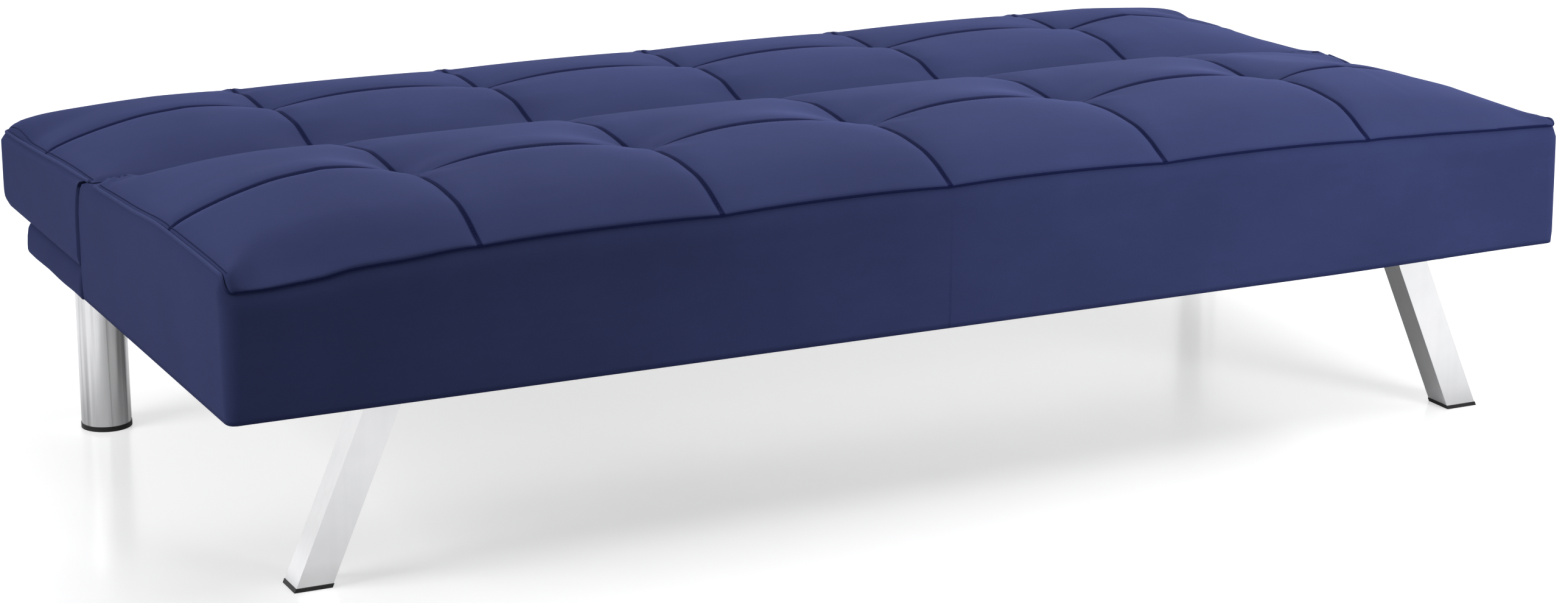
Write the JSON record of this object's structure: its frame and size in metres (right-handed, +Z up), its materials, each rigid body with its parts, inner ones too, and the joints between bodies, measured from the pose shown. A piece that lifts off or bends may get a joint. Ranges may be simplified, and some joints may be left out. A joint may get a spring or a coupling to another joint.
{
  "type": "futon sofa bed",
  "caption": "Armless click-clack sofa bed laid flat: tufted seat and folding back on a timber base, square splayed front legs and round rear legs.",
  "frame": {"origin": "centre of the footprint on the floor", "axes": "+X along the length, -Y the front of the seat, +Z up"},
  "size_m": [1.68, 0.897, 0.402],
  "materials": {
    "navy_fabric": "brushed microfibre with a soft sheen",
    "foam": "open-cell foam",
    "timber": "sawn, unfinished",
    "webbing": "woven elastic",
    "lining": "non-woven",
    "chrome": "polished chrome",
    "plate_steel": "black powder coat",
    "zinc_steel": "zinc plated",
    "black_plastic": "moulded"
  },
  "bodies": {
    "base": {"base_cross_rail_centre": "timber", "base_cross_rail_left": "timber", "base_cross_rail_right": "timber", "base_front_rail": "timber", "base_rear_rail": "timber", "base_side_rail_left": "timber", "base_side_rail_right": "timber", "base_wrap_left": "navy_fabric", "base_wrap_rear": "navy_fabric", "base_wrap_right": "navy_fabric", "dust_cover": "lining", "front_leg_cap_left": "black_plastic", "front_leg_cap_right": "black_plastic", "front_leg_left": "chrome", "front_leg_plate_left": "plate_steel", "front_leg_plate_right": "plate_steel", "front_leg_right": "chrome", "hinge_inner_cheek_left": "zinc_steel", "hinge_inner_cheek_right": "zinc_steel", "hinge_outer_cheek_left": "zinc_steel", "hinge_outer_cheek_right": "zinc_steel", "hinge_pawl_spring_left": "zinc_steel", "hinge_pawl_spring_right": "zinc_steel", "hinge_pins_left": "zinc_steel", "hinge_pins_right": "zinc_steel", "hinge_seat_screws": "zinc_steel", "leg_bolts": "zinc_steel", "rear_leg_foot_left": "black_plastic", "rear_leg_foot_right": "black_plastic", "rear_leg_left": "chrome", "rear_leg_plate_left": "plate_steel", "rear_leg_plate_right": "plate_steel", "rear_leg_right": "chrome", "seat_cover": "navy_fabric", "seat_foam": "foam", "seat_front_board": "timber", "seat_piping": "navy_fabric", "seat_rear_board": "timber", "seat_side_board_left": "timber", "seat_side_board_right": "timber", "seat_straps": "webbing", "seat_stretcher_left": "timber", "seat_stretcher_right": "timber"},
    "back": {"back_cover": "navy_fabric", "back_foam": "foam", "back_lower_board": "timber", "back_panel": "navy_fabric", "back_piping": "navy_fabric", "back_side_board_left": "timber", "back_side_board_right": "timber", "back_straps": "webbing", "back_stretcher_left": "timber", "back_stretcher_right": "timber", "back_upper_board": "timber", "hinge_arm_left": "zinc_steel", "hinge_arm_right": "zinc_steel", "hinge_back_screws": "zinc_steel"},
    "pawl_left": {"hinge_pawl_left": "zinc_steel"},
    "pawl_right": {"hinge_pawl_right": "zinc_steel"}
  },
  "joints": [
    {"name": "back_fold", "type": "hinge", "parent": "base", "child": "back", "pos_m": [0, 0.0385, 0.346], "axis": [1, 0, 0], "range_deg": [0, 75]},
    {"name": "pawl_left", "type": "hinge", "parent": "base", "child": "pawl_left", "pos_m": [-0.8081, -0.0035, 0.31], "axis": [1, 0, 0], "range_deg": [0, 10]},
    {"name": "pawl_right", "type": "hinge", "parent": "base", "child": "pawl_right", "pos_m": [0.8081, -0.0035, 0.31], "axis": [1, 0, 0], "range_deg": [0, 10]}
  ]
}
